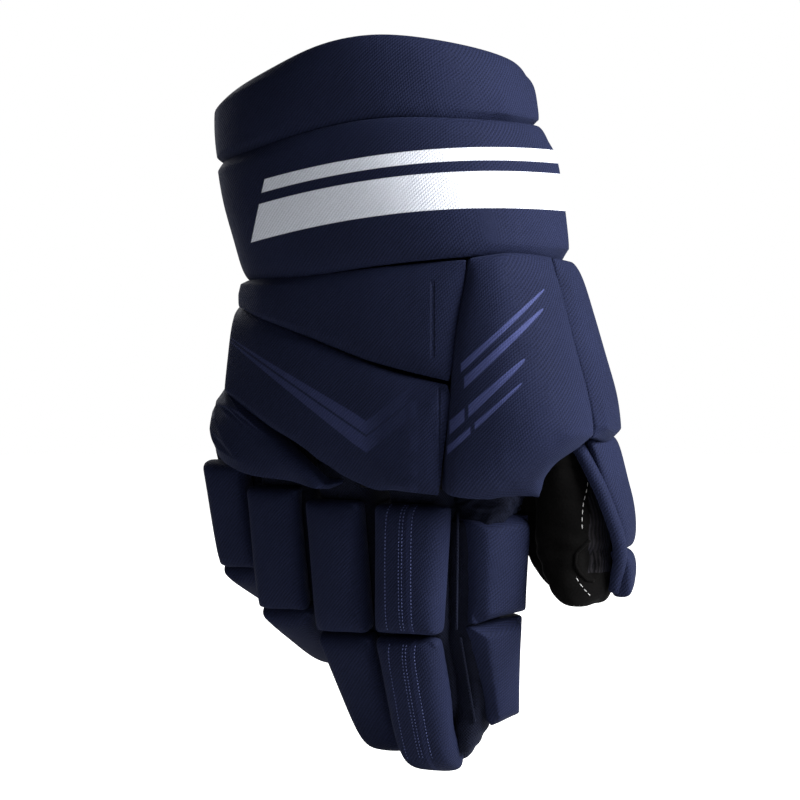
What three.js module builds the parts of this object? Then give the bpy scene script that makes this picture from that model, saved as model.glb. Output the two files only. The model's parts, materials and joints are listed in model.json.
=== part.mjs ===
// Padded ice hockey glove for the right hand, size 14 inch.
// Millimetres. +Z points from the fingers to the cuff, -Y is the back of the hand, +Y the palm
// and +X the thumb side. The origin is the middle of the hand opening.
// Every padded piece is a woven cover, open at its back, over a foam block. Fingers and thumb are
// hollow sleeves that carry such pads, in two segments each, hinged along their palm side.

import * as THREE from 'three';

// ---------- driving dimensions ----------
const COVER = 1.4;            // woven cover with its laminate
const FOAM_GAP = 0.6;         // between a cover and its foam
const PAD_DEPTH = 15;         // backhand pads, front to back
const SEAT_GAP = 2.2;         // between the hand's skin and the pads on it
const LINER = 1.6;            // lining and palm layers
const WRIST_Z = -92;          // height of the wrist hinge
const KNUCKLE_Z = -196;       // lower edge of the hand over the index and middle fingers
const RING_EDGE = -190.5;     // the same over the ring finger
const LITTLE_EDGE = -177.5;   // and over the little finger
const SPLIT = 1.2;            // gap between two neighbouring finger segments
const THUMB_TOP = -177;       // upper edge of the thumb
const THUMB_SPLIT = -223.5;   // between the two thumb segments
const THUMB_END = -246;       // lower end of the thumb guard
const THUMB_INSIDE = 79;      // x of the thumb's face towards the index finger

// Cross-sections of the hand, from the cuff down. Each is a rounded box around (cx, cy):
// half width a, half depth back on the back of the hand and palm on the palm side, and a power n
// that squares its corners. SKIN is the hand inside the pads and FACE is the pads' outer face.
const SKIN = [
  { z: 22, cx: -6, cy: 0, a: 65, back: 41, palm: 41, n: 2.2 },
  { z: -50, cx: 3, cy: 0, a: 69, back: 41, palm: 40, n: 2.3 },
  { z: -92, cx: 10, cy: 1, a: 66, back: 35, palm: 38, n: 2.6 },
  { z: -140, cx: 13, cy: 2, a: 74, back: 33, palm: 37, n: 2.9 },
  { z: -168, cx: 4, cy: 2, a: 76, back: 32, palm: 29, n: 3.2 },
  { z: -200, cx: -5, cy: 2, a: 70, back: 31, palm: 10, n: 3.6 },
];
const FACE = [
  { z: 22, cx: -8, cy: 0, a: 83, back: 57, palm: 54, n: 2.2 },
  { z: -50, cx: 1, cy: 0, a: 87, back: 57, palm: 52, n: 2.4 },
  { z: -92, cx: 10, cy: 1, a: 84, back: 50, palm: 50, n: 2.8 },
  { z: -140, cx: 15, cy: 2, a: 94, back: 49, palm: 44, n: 3.3 },
  { z: -168, cx: 14, cy: 2, a: 101, back: 48, palm: 38, n: 3.9 },
  { z: -200, cx: 1, cy: 2, a: 84, back: 48, palm: 20, n: 4.6 },
];

// Fingers, seen from the thumb side. left and right are its sides, (y, z) is the knuckle hinge in
// the palm face, depth is the finger's thickness, lean and curl are the slopes of its two segments
// from straight down towards the palm, in degrees, and first and second are their lengths.
const finger = (left, right, y, z, depth, lean, curl, first, second) => (
  { left, right, y, z, depth, lean, curl, first, second });
const FINGERS = {
  little: finger(-87, -57.5, 11.5, -179.3, 40, 18, 66, 32.5, 42.7),
  ring: finger(-55.5, -22.5, 7, -192, 44, 12, 62, 36.1, 52.6),
  middle: finger(-20.5, 13, 5, -197.8, 46, 8, 36, 53, 64.5),
  index: finger(15, 49.5, 5, -199.4, 46, 4, 20, 56.8, 69.5),
};
const ROLL = 14;              // depth of a finger roll
const TIP_BEND = 18;          // outer radius of a roll around the fingertip
const TIP_TAPER = 2;          // a tip roll is this much narrower on each side at its end
const BORE_WALL = 3;          // wall of a finger or thumb sleeve
const SLEEVE_PLAY = 1.5;      // a finger sleeve keeps this far from its rolls and its finger's sides

// ---------- materials ----------
const woven = (shade) => new THREE.MeshStandardMaterial({ color: shade, roughness: 0.85, metalness: 0 });
const navy = () => woven(0x232a45);
const foam = () => new THREE.MeshStandardMaterial({ color: 0x9a9a96, roughness: 0.95, metalness: 0 });
const suede = () => new THREE.MeshStandardMaterial({ color: 0x0c0c0d, roughness: 0.95, metalness: 0 });
const knit = () => new THREE.MeshStandardMaterial({ color: 0x17171c, roughness: 0.9, metalness: 0 });
const plastic = () => new THREE.MeshStandardMaterial({ color: 0xd8d8d4, roughness: 0.4, metalness: 0 });

// ---------- meshes from points ----------
// Collects points and triangles, and turns the result so that its faces point out.
class Body {
  constructor() {
    this.points = [];
    this.triangles = [];
  }
  add(point) {
    return this.points.push(point) - 1;
  }
  grid(rows) {
    return rows.map((row) => row.map((point) => this.add(point)));
  }
  quad(a, b, c, d) {
    this.triangles.push([a, b, c], [a, c, d]);
  }
  // The faces between the points of a grid of indices.
  sheet(ids, flip = false) {
    for (let i = 0; i + 1 < ids.length; i += 1) {
      for (let j = 0; j + 1 < ids[i].length; j += 1) {
        const [a, b, c, d] = [ids[i][j], ids[i + 1][j], ids[i + 1][j + 1], ids[i][j + 1]];
        this.quad(...(flip ? [a, d, c, b] : [a, b, c, d]));
      }
    }
  }
  // The faces between two closed loops of indices. other splits them along the other diagonal.
  band(loopA, loopB, other = false) {
    for (let k = 0; k < loopA.length; k += 1) {
      const next = (k + 1) % loopA.length;
      const [a, b, c, d] = [loopA[k], loopB[k], loopB[next], loopA[next]];
      this.quad(...(other ? [b, c, d, a] : [a, b, c, d]));
    }
  }
  fan(loop, flip = false) {
    for (let k = 1; k + 1 < loop.length; k += 1) {
      this.triangles.push(flip ? [loop[0], loop[k + 1], loop[k]] : [loop[0], loop[k], loop[k + 1]]);
    }
  }
  volume() {
    return this.triangles.reduce((sum, [a, b, c]) => {
      const [p, q, r] = [a, b, c].map((id) => new THREE.Vector3(...this.points[id]));
      return sum + p.dot(q.cross(r)) / 6;
    }, 0);
  }
  geometry() {
    const outward = this.volume() > 0;
    const index = this.triangles.flatMap(([a, b, c]) => (outward ? [a, b, c] : [a, c, b]));
    const geometry = new THREE.BufferGeometry();
    geometry.setAttribute('position', new THREE.Float32BufferAttribute(this.points.flat(), 3));
    geometry.setIndex(index);
    geometry.computeVertexNormals();
    return geometry;
  }
}

// The edge of a grid of indices, as one closed loop.
function border(ids) {
  const last = ids.length - 1;
  const end = ids[0].length - 1;
  return [
    ...ids.map((row) => row[0]),
    ...ids[last].slice(1),
    ...ids.slice(0, last).reverse().map((row) => row[end]),
    ...ids[0].slice(1, end).reverse(),
  ];
}

// ---------- pads ----------
// A pad's shape is at(u, v, w): u and v run over its outline and w from its back, 0, to its face, 1.
// size is its width, height and depth, which turn millimetres of wall into parts of u, v and w.
const mix = THREE.MathUtils.lerp;
const EDGE = 3.2;             // width of a pad's rounded edge
const EDGE_LOW = 0.8;         // how high a pad stands at its rounded edge, as a part of its depth
const ROLL_LOW = 0.62;        // the same for a roll

// Steps over a length: one over each rounded edge and count between them, as parts of the length.
function steps(count, length) {
  const edge = EDGE / length;
  const inner = Array.from({ length: count + 1 }, (_, k) => mix(edge, 1 - edge, k / count));
  return [0, ...inner, 1];
}

// How high the face stands at a step: lower on the outermost, so that the edge is rounded.
function crown(i, count, low) {
  if (i === 0 || i === count) return low;
  return i === 1 || i === count - 1 ? mix(low, 1, 0.8) : 1;
}

// A grid over the pad, drawn in by inset millimetres at the sides and under the face.
function padFace(shape, inset) {
  const { at, size, parts, low = EDGE_LOW } = shape;
  const us = steps(parts[0], size[0]);
  const vs = steps(parts[1], size[1]);
  const inU = inset / size[0];
  const inV = inset / size[1];
  const inW = inset / size[2];
  return us.map((u, i) => vs.map((v, j) => {
    const top = Math.min(crown(i, us.length - 1, low), crown(j, vs.length - 1, low));
    return [mix(inU, 1 - inU, u), mix(inV, 1 - inV, v), top - inW];
  })).map((row) => row.map(([u, v, w]) => ({ face: at(u, v, w), u, v })));
}

function coverGeometry(shape) {
  const body = new Body();
  const outer = padFace(shape, 0);
  const inner = padFace(shape, COVER);
  const outerIds = body.grid(outer.map((row) => row.map((p) => p.face)));
  const innerIds = body.grid(inner.map((row) => row.map((p) => p.face)));
  const rimOf = (cells) => border(cells).map((p) => body.add(shape.at(p.u, p.v, 0)));
  const outerRim = rimOf(outer);
  const innerRim = rimOf(inner);
  body.sheet(outerIds);
  body.band(border(outerIds), outerRim);
  body.band(outerRim, innerRim);
  body.band(innerRim, border(innerIds), true);
  body.sheet(innerIds, true);
  return body.geometry();
}

// A solid inside the cover, from low to high parts of the depth. Without high it fills the cover.
function fillGeometry(shape, from, high = null) {
  const body = new Body();
  const cells = padFace(shape, COVER + FOAM_GAP);
  const face = (p) => (high === null ? p.face : shape.at(p.u, p.v, high));
  const top = body.grid(cells.map((row) => row.map(face)));
  const back = body.grid(cells.map((row) => row.map((p) => shape.at(p.u, p.v, from))));
  body.sheet(top);
  body.band(border(top), border(back));
  body.sheet(back, true);
  return body.geometry();
}

const glove = new THREE.Group();

function put(name, geometry, material) {
  const mesh = new THREE.Mesh(geometry, material);
  mesh.name = name;
  glove.add(mesh);
}

function padPieces(name, shape, from = 0.04) {
  put(`${name}_cover`, coverGeometry(shape), navy());
  put(`${name}_foam`, fillGeometry(shape, from), foam());
}

// ---------- the hand's cross-sections ----------
const radians = THREE.MathUtils.degToRad;

// The section at height z, as a smooth curve through the levels.
function section(levels, z) {
  const last = levels.length - 1;
  const found = levels.findIndex((level, k) => k < last && z >= levels[k + 1].z);
  const k = found < 0 ? last - 1 : found;
  const [p0, p1, p2, p3] = [-1, 0, 1, 2].map((d) => levels[THREE.MathUtils.clamp(k + d, 0, last)]);
  const t = THREE.MathUtils.clamp((p1.z - z) / (p1.z - p2.z), 0, 1);
  const value = (key) => {
    const slope1 = ((p2[key] - p0[key]) / (p2.z - p0.z)) * (p2.z - p1.z);
    const slope2 = ((p3[key] - p1[key]) / (p3.z - p1.z)) * (p2.z - p1.z);
    const a = 2 * p1[key] - 2 * p2[key] + slope1 + slope2;
    const b = -3 * p1[key] + 3 * p2[key] - 2 * slope1 - slope2;
    return ((a * t + b) * t + slope1) * t + p1[key];
  };
  return Object.fromEntries(['cx', 'cy', 'a', 'back', 'palm', 'n'].map((key) => [key, value(key)]));
}

// A point on a section. The angle is counted around the hand from the middle of its back, 0,
// over the thumb side, 90, to the middle of the palm, 180. out moves it outwards.
function around(levels, angle, z, out = 0) {
  const { cx, cy, a, back, palm, n } = section(levels, z);
  const s = Math.sin(radians(angle));
  const c = Math.cos(radians(angle));
  const depth = c > 0 ? back : palm;
  const r = (Math.abs(s / a) ** n + Math.abs(c / depth) ** n) ** (-1 / n) + out;
  return [cx + r * s, cy - r * c, z];
}

// A polyline through [angle, z] points, as a function of its length from 0 to 1.
function route(points) {
  const vectors = points.map(([angle, z]) => new THREE.Vector2(angle, z));
  const lengths = vectors.map((p, k) => (k ? p.distanceTo(vectors[k - 1]) : 0));
  const total = lengths.reduce((sum, length) => sum + length, 0);
  return (t) => {
    let left = t * total;
    for (let k = 1; k < vectors.length; k += 1) {
      if (left <= lengths[k] || k === vectors.length - 1) {
        return vectors[k - 1].clone().lerp(vectors[k], Math.min(left / lengths[k], 1));
      }
      left -= lengths[k];
    }
    return vectors[0];
  };
}

// A patch on the hand between four edges, each a list of [angle, z]. top and bottom run towards
// the thumb side, left and right run down.
function patch(top, bottom, left, right) {
  const [t, b, l, r] = [top, bottom, left, right].map(route);
  return (u, v) => {
    const sides = t(u).multiplyScalar(1 - v).add(b(u).multiplyScalar(v))
      .add(l(v).multiplyScalar(1 - u)).add(r(v).multiplyScalar(u));
    const corners = t(0).multiplyScalar((1 - u) * (1 - v)).add(t(1).multiplyScalar(u * (1 - v)))
      .add(b(0).multiplyScalar((1 - u) * v)).add(b(1).multiplyScalar(u * v));
    return sides.sub(corners);
  };
}

// A pad on the hand: its face is on FACE and its back is depth behind it, but off the skin.
function onHand(outline, depth = PAD_DEPTH, lift = 0) {
  return (u, v, w) => {
    const { x: angle, y: z } = outline(u, v);
    const face = new THREE.Vector3(...around(FACE, angle, z, lift));
    const skin = new THREE.Vector3(...around(SKIN, angle, z, SEAT_GAP));
    const middle = section(FACE, z);
    const reach = (p) => Math.hypot(p.x - middle.cx, p.y - middle.cy);
    const centre = new THREE.Vector3(middle.cx, middle.cy, z);
    const back = face.clone().sub(centre);
    back.setLength(Math.max(reach(face) - depth, reach(skin))).add(centre);
    return back.lerp(face, w).toArray();
  };
}

// The lower edge of the hand at x: it rises in two steps over the ring and the little finger.
function knuckleEdge(x) {
  const step = (from, to) => THREE.MathUtils.clamp((from - x) / (from - to), 0, 1);
  return KNUCKLE_Z + (RING_EDGE - KNUCKLE_Z) * step(-10, -19) + (LITTLE_EDGE - RING_EDGE) * step(-46, -56);
}

// A curved wall that follows a section from angle to angle, and from top down to bottom.
// The bottom is a height or a function of x.
function wallGeometry(levels, angles, top, bottom, inside, outside, parts) {
  const body = new Body();
  const lowest = (angle) => (
    typeof bottom === 'function' ? bottom(around(levels, angle, KNUCKLE_Z)[0]) : bottom);
  const column = (angle, out) => Array.from({ length: parts[1] + 1 }, (_, j) => (
    around(levels, angle, mix(top, lowest(angle), j / parts[1]), out)));
  const rows = (out) => Array.from({ length: parts[0] + 1 }, (_, i) => (
    column(mix(...angles, i / parts[0]), out)));
  const outer = body.grid(rows(outside));
  const inner = body.grid(rows(inside));
  body.sheet(outer);
  body.band(border(outer), border(inner));
  body.sheet(inner, true);
  return body.geometry();
}

// A tube between two stacks of closed loops. With an end, both stacks are closed at their last loop.
function tubeGeometry(outerLoops, innerLoops, closed) {
  const body = new Body();
  const outer = body.grid(outerLoops);
  const inner = body.grid(innerLoops);
  const walls = (loops) => loops.slice(1).forEach((loop, k) => body.band(loops[k], loop));
  walls(outer);
  walls([...inner].reverse());
  body.band(inner[0], outer[0]);
  if (closed) {
    body.fan(outer.at(-1), true);
    body.fan(inner.at(-1));
  } else {
    body.band(outer.at(-1), inner.at(-1));
  }
  return body.geometry();
}

// ---------- cuff ----------
function buildCuff() {
  const seam = [
    [-124, -48], [-80, -43], [-52, -39.5], [-14, -29], [14, -23.5], [37, -21], [72, -23], [124, -28]];
  const aboveSeam = seam.map(([angle, z]) => [angle, z + SPLIT]);
  const roll = patch(
    [[-124, -32], [-80, -21], [-37, -3], [0, 11], [32, 18.5], [65, 13], [90, 5], [124, -6]],
    aboveSeam, [[-124, -32], aboveSeam[0]], [[124, -6], aboveSeam.at(-1)]);
  const bandShape = patch(
    seam,
    [[-124, -98], [-85, -98], [-32, -94.5], [28, -87.5], [56, -84], [72, -83], [92, -86], [124, -90]],
    [[-124, -48], [-124, -98]], [[124, -28], [124, -90]]);
  padPieces('cuff_pad', { at: onHand(roll, 14, -3), size: [280, 38, 14], parts: [12, 2] });
  padPieces('wrist_band', { at: onHand(bandShape), size: [290, 60, PAD_DEPTH], parts: [12, 3] });
  put('cuff_palm_panel', wallGeometry(SKIN, [128, 232], -22, WRIST_Z + 4, 0.6, 7, [8, 3]), navy());
  const loop = (z, out) => Array.from({ length: 20 }, (_, k) => around(SKIN, k * 18, z, out));
  const heights = [-14, -40, -64, WRIST_Z + 5];
  put('cuff_lining', tubeGeometry(
    heights.map((z) => loop(z, -1.2)), heights.map((z) => loop(z, -1.2 - LINER)), false), knit());
}

// ---------- backhand ----------
function buildBackhand() {
  const upper = patch(
    [[-90, -100.5], [-32, -96.5], [28, -89.5], [50, -86.5]],
    [[-90, -110.5], [40.5, -143]],
    [[-90, -100.5], [-90, -110.5]],
    [[50, -86.5], [44, -115], [40.5, -143]]);
  const middle = patch(
    [[-87, -112.5], [39.5, -145.5]],
    [[-87, -142], [-38, -166.5], [-10, -181], [22, -198.5], [53, -199]],
    [[-87, -112.5], [-87, -142]],
    [[39.5, -145.5], [44, -175], [53, -199]]);
  const lower = patch(
    [[-86, -145], [-70, -151.5]],
    [[-88, -180.5], [-64, -183], [-52, -189.5], [-3, -195.5]],
    [[-86, -145], [-88, -180.5]],
    [[-70, -151.5], [-38, -170], [-10, -187], [-3, -195.5]]);
  const parts = [8, 3];
  padPieces('upper_pad', { at: onHand(upper), size: [115, 34, PAD_DEPTH], parts }, 0.16);
  padPieces('middle_pad', { at: onHand(middle), size: [125, 44, PAD_DEPTH], parts }, 0.16);
  padPieces('lower_pad', { at: onHand(lower), size: [40, 22, PAD_DEPTH], parts: [5, 3] });
  put('upper_pad_insert', fillGeometry(
    { at: onHand(upper), size: [115, 34, PAD_DEPTH], parts }, 0.03, 0.12), plastic());
  put('middle_pad_insert', fillGeometry(
    { at: onHand(middle), size: [125, 44, PAD_DEPTH], parts }, 0.03, 0.12), plastic());
}

function buildThumbSide() {
  const panel = patch([[52, -87], [72, -84.5], [88, -87]], [[56, -199.5], [68, -200.5], [76, -199]],
    [[52, -87], [45.5, -115], [42, -144], [46, -175], [56, -199.5]],
    [[88, -87], [87, -147], [87, -169], [82, -177], [78, -185], [76, -199]]);
  const guard = patch([[89.5, -88], [112, -91]], [[88.5, -169], [98, -173], [108, -168]],
    [[89.5, -88], [88.5, -147], [88.5, -169]], [[112, -91], [112, -130], [108, -168]]);
  padPieces('side_panel', { at: onHand(panel), size: [70, 105, PAD_DEPTH], parts: [6, 7] });
  padPieces('side_guard', { at: onHand(guard, 13, 1), size: [36, 80, 13], parts: [3, 5] });
}

function buildHandShell() {
  const top = WRIST_Z - 4;
  const back = [-112, 74];
  const deep = -LINER - 0.8;
  const over = 0.8;
  put('backhand_base', wallGeometry(SKIN, back, top, knuckleEdge, -LINER, 0, [16, 4]), knit());
  put('hand_lining', wallGeometry(SKIN, back, top, knuckleEdge, deep - LINER, deep, [16, 4]), knit());
  put('thumb_gusset', wallGeometry(SKIN, [76, 112], top, -150, -LINER, 0, [3, 3]), knit());
  put('palm_panel', wallGeometry(SKIN, [114, 246], top, knuckleEdge, -LINER, 0, [12, 5]), suede());
  put('palm_overlay', wallGeometry(
    SKIN, [136, 202], -120, KNUCKLE_Z + 4, over, over + LINER, [6, 4]), suede());
}

// ---------- fingers ----------
// A straight segment of a finger in its own frame: s runs down it from its hinge, h is the height
// over the palm face and x runs across.
function segmentFrame(hinge, slope) {
  const s1 = Math.sin(radians(slope));
  const c1 = Math.cos(radians(slope));
  return (x, s, h) => [x, hinge[0] + s * s1 - h * c1, hinge[1] - s * c1 - h * s1];
}

function segments(finger) {
  const { y, z, lean, curl, first, second } = finger;
  const top = segmentFrame([y, z], lean);
  const [, hy, hz] = top(0, first, 0);
  const halfKnuckle = Math.tan(radians(lean / 2));
  const halfMiddle = Math.tan(radians((curl - lean) / 2));
  return {
    knuckle: {
      place: top,
      start: (h) => SPLIT / 2 - h * halfKnuckle,
      end: (h) => first - SPLIT / 2 + h * halfMiddle,
    },
    tip: {
      place: segmentFrame([hy, hz], curl),
      start: (h) => SPLIT / 2 - h * halfMiddle,
      end: () => second,
    },
  };
}

// A box of finger roll: from left to right, over the whole segment, or around the fingertip.
function rollShape(finger, segment, aroundTip) {
  const { left, right, depth } = finger;
  const { place, start, end } = segment;
  const across = (u, v = 0) => mix(left + TIP_TAPER * v, right - TIP_TAPER * v, u);
  const length = end(depth) - start(depth);
  const straight = (u, v, w) => {
    const h = depth - ROLL * (1 - w);
    return place(across(u), mix(start(h), end(h), v), h);
  };
  const bent = (u, v, w) => {
    const h = depth - ROLL * (1 - w);
    const from = start(h);
    const centre = end(0) - TIP_BEND;
    const arc = (TIP_BEND * Math.PI) / 2;
    const run = v * (centre - start(depth) + arc);
    const flat = centre - start(depth);
    if (run <= flat) return place(across(u, v), mix(from, centre, run / flat), h);
    const turn = (run - flat) / TIP_BEND;
    const radius = TIP_BEND - ROLL * (1 - w);
    const reach = centre + radius * Math.sin(turn);
    return place(across(u, v), reach, depth - TIP_BEND + radius * Math.cos(turn));
  };
  return {
    at: aroundTip ? bent : straight,
    size: [right - left, length, ROLL],
    parts: aroundTip ? [2, 5] : [2, 2],
    low: ROLL_LOW,
  };
}

// The loop of a sleeve: a box with cut corners, drawn in by wall. rise lifts its palm side.
function sleeveLoop(left, right, height, wall, cut, rise) {
  const [x0, x1, h0, h1] = [left + wall, right - wall, rise + wall, height - wall];
  const c = Math.max(cut - wall * 0.5, 1);
  return [
    [x0 + c, h0], [x1 - c, h0], [x1, h0 + c], [x1, h1 - c],
    [x1 - c, h1], [x0 + c, h1], [x0, h1 - c], [x0, h0 + c],
  ];
}

// The sleeve behind a segment's roll. A tip narrows to its end, mostly from the palm side.
function sleeveGeometry(finger, segment, isTip) {
  const { left, right, depth } = finger;
  const { place, start, end } = segment;
  const full = depth - ROLL - SLEEVE_PLAY;
  const bend = end(0) - TIP_BEND;
  const tipRings = (wall) => [
    { height: full, cut: 5, rise: 0, narrow: 0, s: (h) => start(h) },
    { height: full, cut: 5, rise: 3, narrow: 0, s: (h) => Math.max(bend - 3, start(h) + 1) },
    { height: depth - TIP_BEND - 2.5, cut: 6, rise: 7, narrow: 1, s: () => end(0) - ROLL + 1 },
    { height: depth - TIP_BEND - 4, cut: 5, rise: 11, narrow: 4, s: () => end(0) - 2 - wall },
  ];
  const straightRings = () => [
    { height: full, cut: 5, rise: 0, narrow: 0, s: start },
    { height: full, cut: 5, rise: 0, narrow: 0, s: end },
  ];
  const stack = (wall) => (isTip ? tipRings(wall) : straightRings()).map((ring) => {
    const inset = SLEEVE_PLAY + ring.narrow;
    return sleeveLoop(left + inset, right - inset, ring.height, wall, ring.cut, ring.rise)
      .map(([x, h]) => place(x, ring.s(h), h));
  });
  return tubeGeometry(stack(0), stack(BORE_WALL), isTip);
}

function buildFingers() {
  for (const [name, finger] of Object.entries(FINGERS)) {
    const parts = segments(finger);
    for (const [part, segment] of Object.entries(parts)) {
      padPieces(`${name}_${part}`, rollShape(finger, segment, part === 'tip'));
      put(`${name}_${part}_sleeve`, sleeveGeometry(finger, segment, part === 'tip'), knit());
    }
  }
}

// The index finger's side rolls stand on its thumb side and face half way to the thumb. The one
// on the tip narrows downwards.
function buildSideRolls() {
  const { knuckle, tip } = segments(FINGERS.index);
  const facing = radians(60);
  const normal = [Math.sin(facing), -Math.cos(facing)];
  const across = [Math.cos(facing), Math.sin(facing)];
  const depth = 16;
  const shape = (segment, from, to, middle, taper) => ({
    at: (u, v, w) => {
      const side = mix(-15, 12 - 11 * taper * v, u);
      const out = (depth - 3 * taper * v) * (w - 1) - 4 * taper * v;
      const x = middle[0] + side * across[0] + out * normal[0];
      const y = middle[1] + side * across[1] + out * normal[1];
      const h = FINGERS.index.y - y;
      return segment.place(x, mix(from(h), to(h), v), h);
    },
    size: [27, 46, depth],
    parts: [2, 3],
    low: ROLL_LOW,
  });
  // Behind the hinge both are cut back, so that the finger can close.
  const cutBack = (h) => 0.75 * Math.max(-h, 0);
  padPieces('index_side_knuckle', shape(
    knuckle, () => 10, (h) => knuckle.end(h) - cutBack(h), [73, -11], 0));
  padPieces('index_side_tip', shape(tip, (h) => tip.start(h) + cutBack(h), () => 49, [73, -12], 1));
}

// ---------- thumb ----------
const THUMB_Y = 16;           // middle of the thumb, from its nail to its pad
const THUMB_HALF = 19;        // half of its thickness
const GUARD = 10.5;           // depth of the thumb guard
const GUARD_ANGLES = [28, -75]; // from its front edge, around the outer side, to its palm edge
const GUARD_WIDTH = 55;       // along its middle

// The x of the thumb's inner and outer sides at height z. It widens from its root and tapers
// towards its tip.
function thumbSides(z) {
  const taper = Math.max((THUMB_SPLIT - z) / (THUMB_SPLIT - THUMB_END), 0);
  const t = (THUMB_TOP - z) / (THUMB_TOP - THUMB_END);
  const outer = 17 + 16 * Math.sin(Math.PI * Math.min(0.08 + t * 0.75, 0.72));
  return [THUMB_INSIDE + 12 * taper, THUMB_INSIDE + outer];
}

// A point around the thumb: angle 0 is its outer side, 90 faces the back of the hand. The inner
// half is boxy and the outer half is round.
function thumbPoint(angle, z, out) {
  const [inner, outer] = thumbSides(z);
  const s = Math.sin(radians(angle));
  const c = Math.cos(radians(angle));
  const power = c < 0 ? 4 : 2;
  const r = (Math.abs(s) ** power + Math.abs(c) ** power) ** (-1 / power);
  const rx = (outer - inner) / 2 + (c > 0 ? out : Math.min(out, 0));
  return [(inner + outer) / 2 + rx * r * c, THUMB_Y - (THUMB_HALF + out) * r * s, z];
}

function thumbSleeve(heights, closed) {
  const ring = (z, out) => Array.from({ length: 16 }, (_, k) => thumbPoint(k * 22.5, z, out));
  const outer = heights.map(([z, squeeze]) => ring(z, -squeeze));
  const last = heights.length - 1;
  const inner = heights.map(([z, squeeze], k) => (
    ring(closed && k === last ? z + BORE_WALL : z, -squeeze - BORE_WALL)));
  return tubeGeometry(outer, inner, closed);
}

function buildThumb() {
  const guard = (top, bottom, parts) => ({
    at: (u, v, w) => thumbPoint(mix(...GUARD_ANGLES, u), mix(top, bottom, v), 1.8 + GUARD * w),
    size: [GUARD_WIDTH, top - bottom, GUARD],
    parts,
  });
  const above = THUMB_SPLIT + SPLIT / 2;
  const below = THUMB_SPLIT - SPLIT / 2;
  const base = guard(THUMB_TOP, above, [4, 3]);
  padPieces('thumb_base', base, 0.2);
  put('thumb_splint', fillGeometry(base, 0.03, 0.15), plastic());
  padPieces('thumb_tip', guard(below, THUMB_END, [4, 2]));
  put('thumb_base_sleeve', thumbSleeve([[THUMB_TOP - 1, 0], [-200, 0], [above, 0]], false), suede());
  put('thumb_tip_sleeve', thumbSleeve([[below, 0], [-236, 0.5], [THUMB_END - 1.5, 2]], true), suede());
}

// The web in front of the thumb's root, from under the side panel to the thumb.
function buildWeb() {
  const outline = new THREE.Shape([[84, 173], [104, 173], [104, 182], [96, 196], [84, 204]]
    .map(([x, down]) => new THREE.Vector2(x, -down)));
  const geometry = new THREE.ExtrudeGeometry(outline, { depth: 2, bevelEnabled: false });
  geometry.rotateX(Math.PI / 2);
  geometry.translate(0, -3.9, 0);
  put('thumb_web', geometry, suede());
}

buildCuff();
buildBackhand();
buildThumbSide();
buildHandShell();
buildFingers();
buildSideRolls();
buildThumb();
buildWeb();

export default glove;
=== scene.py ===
"""A right-hand ice hockey glove: its fabric, padding and stitching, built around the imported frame.

Everything is in metres in the frame's own axes: +Z from the fingers to the cuff, -Y the back of
the hand, +X the thumb side. Lengths written with MM are in millimetres.
"""

import json
import math

import bmesh
import bpy
import numpy as np
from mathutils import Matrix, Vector, noise
from mathutils.bvhtree import BVHTree

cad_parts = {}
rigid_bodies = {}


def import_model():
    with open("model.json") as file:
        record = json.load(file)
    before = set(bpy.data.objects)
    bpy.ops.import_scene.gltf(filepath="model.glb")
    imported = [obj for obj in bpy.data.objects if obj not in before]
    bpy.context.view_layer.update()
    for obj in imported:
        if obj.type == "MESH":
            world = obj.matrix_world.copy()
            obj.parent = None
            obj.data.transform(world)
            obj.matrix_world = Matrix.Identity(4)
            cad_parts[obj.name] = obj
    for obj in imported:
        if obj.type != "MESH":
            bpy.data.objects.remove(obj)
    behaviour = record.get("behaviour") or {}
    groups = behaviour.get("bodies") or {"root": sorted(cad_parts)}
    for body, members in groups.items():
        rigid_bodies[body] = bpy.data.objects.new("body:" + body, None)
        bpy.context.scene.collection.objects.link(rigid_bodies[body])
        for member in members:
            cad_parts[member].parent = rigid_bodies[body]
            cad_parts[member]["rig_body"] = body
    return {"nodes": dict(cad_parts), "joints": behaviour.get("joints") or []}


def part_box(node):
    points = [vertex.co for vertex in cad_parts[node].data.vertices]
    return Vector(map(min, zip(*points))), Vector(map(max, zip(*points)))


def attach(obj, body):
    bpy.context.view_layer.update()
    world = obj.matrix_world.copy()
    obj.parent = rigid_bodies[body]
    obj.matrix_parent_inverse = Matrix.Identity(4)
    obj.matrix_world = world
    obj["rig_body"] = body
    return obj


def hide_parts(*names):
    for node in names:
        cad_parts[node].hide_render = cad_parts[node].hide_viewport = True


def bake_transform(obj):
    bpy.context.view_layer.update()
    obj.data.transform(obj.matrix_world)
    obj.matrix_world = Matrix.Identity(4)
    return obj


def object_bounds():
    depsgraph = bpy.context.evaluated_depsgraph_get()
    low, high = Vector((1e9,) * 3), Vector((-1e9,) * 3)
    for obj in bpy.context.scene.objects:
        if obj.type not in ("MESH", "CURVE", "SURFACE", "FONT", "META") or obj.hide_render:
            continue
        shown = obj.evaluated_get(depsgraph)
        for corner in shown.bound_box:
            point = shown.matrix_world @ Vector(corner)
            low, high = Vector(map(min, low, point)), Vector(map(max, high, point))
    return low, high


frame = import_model()
CAD_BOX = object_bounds()
NODES = frame["nodes"]
HINGES = {joint["name"]: Vector(joint["pos_m"]) for joint in frame["joints"]}

MM = 0.001
VIEW_AZIMUTH = math.radians(30)      # the camera looks at the back of the hand from the thumb side
VIEW_ELEVATION = math.radians(3)
BACK = Vector((math.sin(VIEW_AZIMUTH), -math.cos(VIEW_AZIMUTH), 0))   # from the glove to the camera
RIGHT = Vector((math.cos(VIEW_AZIMUTH), math.sin(VIEW_AZIMUTH), 0))   # across the camera's view
UP = Vector((0, 0, 1))
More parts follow.
